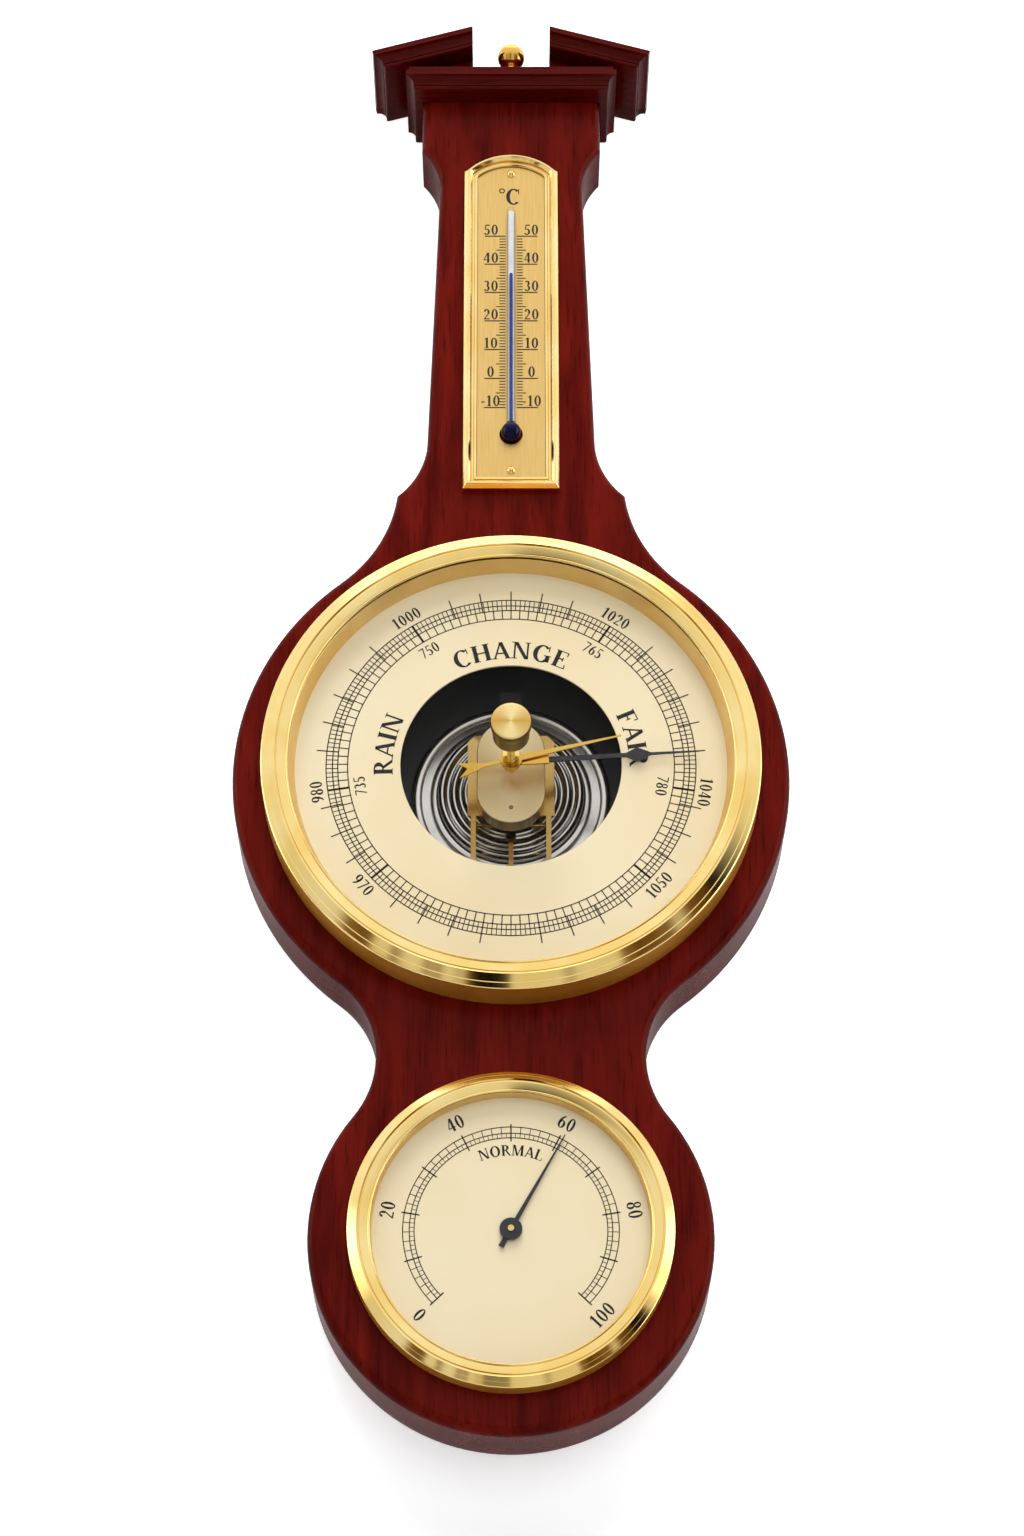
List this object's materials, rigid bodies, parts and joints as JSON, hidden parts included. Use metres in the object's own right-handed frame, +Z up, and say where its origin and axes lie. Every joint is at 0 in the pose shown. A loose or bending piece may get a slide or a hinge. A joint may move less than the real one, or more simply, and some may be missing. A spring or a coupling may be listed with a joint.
{
  "type": "banjo barometer",
  "caption": "Wall weather station in a banjo-shaped wooden case with broken pediment: spirit thermometer, open-dial aneroid barometer with set hand, and hygrometer.",
  "frame": {"origin": "centre of the hanging keyhole's round mouth, on the case's back face (the wall plane)", "axes": "+X to the right seen from the front, +Y from the front into the wall (the dials face -Y), +Z up"},
  "size_m": [0.1484, 0.0514, 0.4143],
  "materials": {
    "mahogany": "red-brown mahogany under gloss lacquer",
    "polished_brass": "polished and lacquered",
    "satin_brass": "satin",
    "nickel_plate": "bright nickel",
    "black_tinplate": "matt black",
    "black_enamel": "satin black",
    "cream_enamel": "matt cream with printed scale",
    "blued_steel": "blued",
    "humidity_strip": "matt",
    "glass": "clear",
    "blue_spirit": "dark blue liquid"
  },
  "bodies": {
    "case": {"case_board": "mahogany", "cornice_front": "mahogany", "cornice_left": "mahogany", "cornice_right": "mahogany", "pediment_plinth": "mahogany", "tympanum_left": "mahogany", "tympanum_right": "mahogany", "pediment_left": "mahogany", "pediment_right": "mahogany", "pediment_left_return": "mahogany", "pediment_right_return": "mahogany", "finial": "polished_brass", "thermometer_frame": "polished_brass", "thermometer_plate": "satin_brass", "thermometer_tube": "glass", "thermometer_spirit": "blue_spirit", "thermometer_pins": "polished_brass", "main_can": "black_tinplate", "main_can_screws": "nickel_plate", "movement_base": "nickel_plate", "movement_screws": "nickel_plate", "capsule": "nickel_plate", "capsule_post": "polished_brass", "yoke": "polished_brass", "gear_cover": "satin_brass", "hairspring": "blued_steel", "main_dial": "cream_enamel", "main_dial_ring": "satin_brass", "main_glass": "glass", "glass_bush": "polished_brass", "main_bezel": "polished_brass", "hygro_can": "black_tinplate", "hygro_can_screws": "nickel_plate", "hygro_frame": "polished_brass", "humidity_coil": "humidity_strip", "hygro_dial": "cream_enamel", "hygro_dial_ring": "satin_brass", "hygro_glass": "glass", "hygro_bezel": "polished_brass"},
    "pressure_hand": {"pressure_arbor": "polished_brass", "pressure_hand": "black_enamel"},
    "sector": {"sector": "polished_brass"},
    "lever": {"rocking_lever": "polished_brass"},
    "set_hand": {"set_knob": "polished_brass", "set_hand": "polished_brass"},
    "hygro_hand": {"hygro_arbor": "polished_brass", "hygro_hand": "black_enamel"},
    "adjusting_screw": {"adjusting_screw": "polished_brass"}
  },
  "joints": [
    {"name": "pressure_hand", "type": "hinge", "parent": "case", "child": "pressure_hand", "pos_m": [0, -0.02, -0.15], "axis": [0, 1, 0], "range_deg": [-218.4, 45.6], "stiffness_Nm_per_rad": 0.002},
    {"name": "sector", "type": "hinge", "parent": "case", "child": "sector", "pos_m": [0, -0.017, -0.1605], "axis": [0, 1, 0], "range_deg": [-8, 36.8]},
    {"name": "lever", "type": "hinge", "parent": "case", "child": "lever", "pos_m": [0, -0.011, -0.1616], "axis": [-1, 0, 0], "range_deg": [-18.5, 4.1]},
    {"name": "set_hand", "type": "hinge", "parent": "case", "child": "set_hand", "pos_m": [0, -0.03, -0.15], "axis": [0, 1, 0], "continuous": true},
    {"name": "hygro_hand", "type": "hinge", "parent": "case", "child": "hygro_hand", "pos_m": [0, -0.02, -0.2773], "axis": [0, 1, 0], "range_deg": [-162.9, 105.1], "stiffness_Nm_per_rad": 0.001},
    {"name": "adjusting_screw", "type": "hinge", "parent": "case", "child": "adjusting_screw", "pos_m": [0, -0.002, -0.15], "axis": [0, 1, 0], "continuous": true}
  ],
  "couplings": [
    {"joint": "sector", "follows": "pressure_hand", "ratio": -0.16667},
    {"joint": "lever", "follows": "pressure_hand", "ratio": 0.083333}
  ]
}
